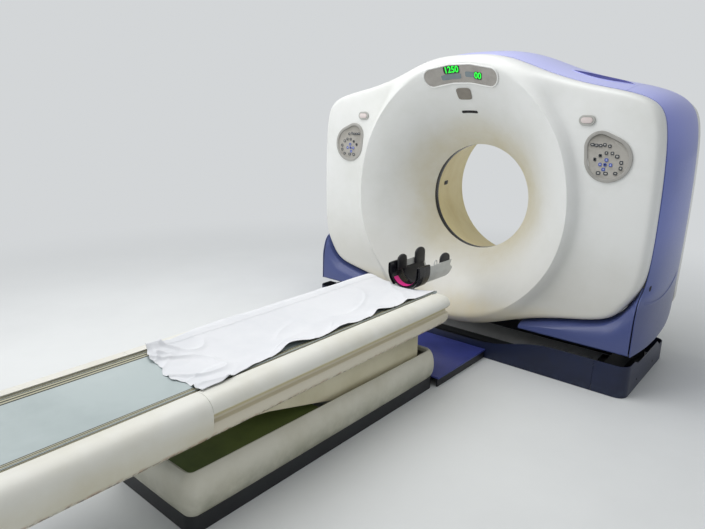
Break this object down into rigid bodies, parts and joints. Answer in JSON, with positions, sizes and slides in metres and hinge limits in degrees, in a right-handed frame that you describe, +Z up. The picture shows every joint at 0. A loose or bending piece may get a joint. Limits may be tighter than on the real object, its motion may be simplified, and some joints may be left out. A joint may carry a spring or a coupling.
{
  "type": "ct scanner",
  "caption": "Computed tomography scanner: tilting ring-shaped gantry with a flared bore, on a floor base, with a lifting patient table, sliding cradle, head holder and sheet.",
  "frame": {"origin": "on the floor, at the centre of the gantry's four anchor holes, straight below the middle of the bore's narrow throat", "axes": "+Z up; +Y along the bore from the patient table to the rear of the gantry, so the table lies on the -Y side; +X to the right as seen from the table"},
  "size_m": [2.416, 3.895, 1.908],
  "materials": {
    "base_frame": "satin",
    "pedestals": "satin",
    "trunnion_bearings": "machined",
    "tilt_drive": "painted",
    "base_cover_front": "satin",
    "base_cover_left": "satin",
    "base_cover_right": "satin",
    "base_cover_rear": "satin",
    "cable_duct": "satin",
    "duct_cover": "satin",
    "tilt_frame": "satin",
    "trunnion_shafts": "ground",
    "main_bearing": "machined",
    "front_cover": "satin",
    "bore_flare": "satin",
    "rear_cover": "satin",
    "top_cover": "satin",
    "side_cover_left": "satin",
    "side_cover_right": "satin",
    "lower_cover_left": "satin",
    "lower_cover_right": "satin",
    "scan_window": "satin",
    "rear_tunnel": "satin",
    "gantry_display": "satin",
    "positioning_light_lens": "glossy",
    "intercom_grille": "matte",
    "control_panel_left": "satin",
    "control_panel_right": "satin",
    "stop_bezels": "satin",
    "stop_button_left": "satin",
    "stop_button_right": "satin",
    "drive_motor": "satin",
    "drive_belt": "matte",
    "motor_pulley": "machined",
    "slip_ring_brushes": "matte",
    "rotor_drum": "machined",
    "slip_ring": "machined",
    "xray_tube": "satin",
    "collimator": "machined",
    "detector_array": "satin",
    "high_voltage_tanks": "satin",
    "heat_exchanger": "machined",
    "counterweights": "painted",
    "table_base_frame": "satin",
    "table_plinth": "satin",
    "table_base_cover": "satin",
    "leg_arms": "satin",
    "leg_cover": "satin",
    "level_link": "machined",
    "table_frame": "satin",
    "table_cover_left": "satin",
    "table_cover_right": "satin",
    "table_front_cover": "satin",
    "table_rear_cover": "satin",
    "cradle_drive": "satin",
    "cradle": "satin",
    "accessory_rails": "anodised",
    "head_holder": "satin",
    "head_holder_pads": "matte",
    "sheet": "woven"
  },
  "bodies": {
    "base": {"base_frame": "base_frame", "pedestals": "pedestals", "trunnion_bearings": "trunnion_bearings", "tilt_drive": "tilt_drive", "base_cover_front": "base_cover_front", "base_cover_left": "base_cover_left", "base_cover_right": "base_cover_right", "base_cover_rear": "base_cover_rear", "cable_duct": "cable_duct", "duct_cover": "duct_cover", "table_base_frame": "table_base_frame", "table_plinth": "table_plinth", "table_base_cover": "table_base_cover"},
    "gantry": {"tilt_frame": "tilt_frame", "trunnion_shafts": "trunnion_shafts", "main_bearing": "main_bearing", "front_cover": "front_cover", "bore_flare": "bore_flare", "rear_cover": "rear_cover", "top_cover": "top_cover", "side_cover_left": "side_cover_left", "side_cover_right": "side_cover_right", "lower_cover_left": "lower_cover_left", "lower_cover_right": "lower_cover_right", "scan_window": "scan_window", "rear_tunnel": "rear_tunnel", "gantry_display": "gantry_display", "positioning_light_lens": "positioning_light_lens", "intercom_grille": "intercom_grille", "control_panel_left": "control_panel_left", "control_panel_right": "control_panel_right", "stop_bezels": "stop_bezels", "drive_motor": "drive_motor", "drive_belt": "drive_belt", "slip_ring_brushes": "slip_ring_brushes"},
    "rotor": {"rotor_drum": "rotor_drum", "slip_ring": "slip_ring", "xray_tube": "xray_tube", "collimator": "collimator", "detector_array": "detector_array", "high_voltage_tanks": "high_voltage_tanks", "heat_exchanger": "heat_exchanger", "counterweights": "counterweights"},
    "drive_pulley": {"motor_pulley": "motor_pulley"},
    "left_stop": {"stop_button_left": "stop_button_left"},
    "right_stop": {"stop_button_right": "stop_button_right"},
    "leg": {"leg_arms": "leg_arms", "leg_cover": "leg_cover"},
    "levelling_link": {"level_link": "level_link"},
    "table_top": {"table_frame": "table_frame", "table_cover_left": "table_cover_left", "table_cover_right": "table_cover_right", "table_front_cover": "table_front_cover", "table_rear_cover": "table_rear_cover", "accessory_rails": "accessory_rails", "cradle_drive": "cradle_drive"},
    "cradle": {"cradle": "cradle", "head_holder": "head_holder", "head_holder_pads": "head_holder_pads", "sheet": "sheet"}
  },
  "joints": [
    {"name": "gantry_tilt", "type": "hinge", "parent": "base", "child": "gantry", "pos_m": [0, 0, 0.97], "axis": [1, 0, 0], "range_deg": [-18, 30]},
    {"name": "rotor_spin", "type": "hinge", "parent": "gantry", "child": "rotor", "pos_m": [0, 0.2, 0.97], "axis": [0, 1, 0], "continuous": true},
    {"name": "pulley_spin", "type": "hinge", "parent": "gantry", "child": "drive_pulley", "pos_m": [0.8, 0.1, 1.49], "axis": [0, 1, 0], "continuous": true},
    {"name": "left_stop_press", "type": "slide", "parent": "gantry", "child": "left_stop", "axis": [0, 1, 0], "range_m": [0, 0.005], "stiffness_N_per_m": 900, "springref_m": -0.002},
    {"name": "right_stop_press", "type": "slide", "parent": "gantry", "child": "right_stop", "axis": [0, 1, 0], "range_m": [0, 0.005], "stiffness_N_per_m": 900, "springref_m": -0.002},
    {"name": "table_lift", "type": "hinge", "parent": "base", "child": "leg", "pos_m": [0, -1.02, 0.12], "axis": [-1, 0, 0], "range_deg": [0, 21.5]},
    {"name": "table_level", "type": "hinge", "parent": "leg", "child": "table_top", "pos_m": [0, -2.3, 0.4], "axis": [-1, 0, 0], "range_deg": [-21.5, 0]},
    {"name": "link_swing", "type": "hinge", "parent": "base", "child": "levelling_link", "pos_m": [0, -1.04, 0.18], "axis": [-1, 0, 0], "range_deg": [0, 21.5]},
    {"name": "cradle_slide", "type": "slide", "parent": "table_top", "child": "cradle", "axis": [0, 1, 0], "range_m": [0, 0.24]}
  ],
  "couplings": [
    {"joint": "pulley_spin", "follows": "rotor_spin", "ratio": 14.269},
    {"joint": "table_level", "follows": "table_lift", "ratio": -1},
    {"joint": "link_swing", "follows": "table_lift", "ratio": 1}
  ]
}
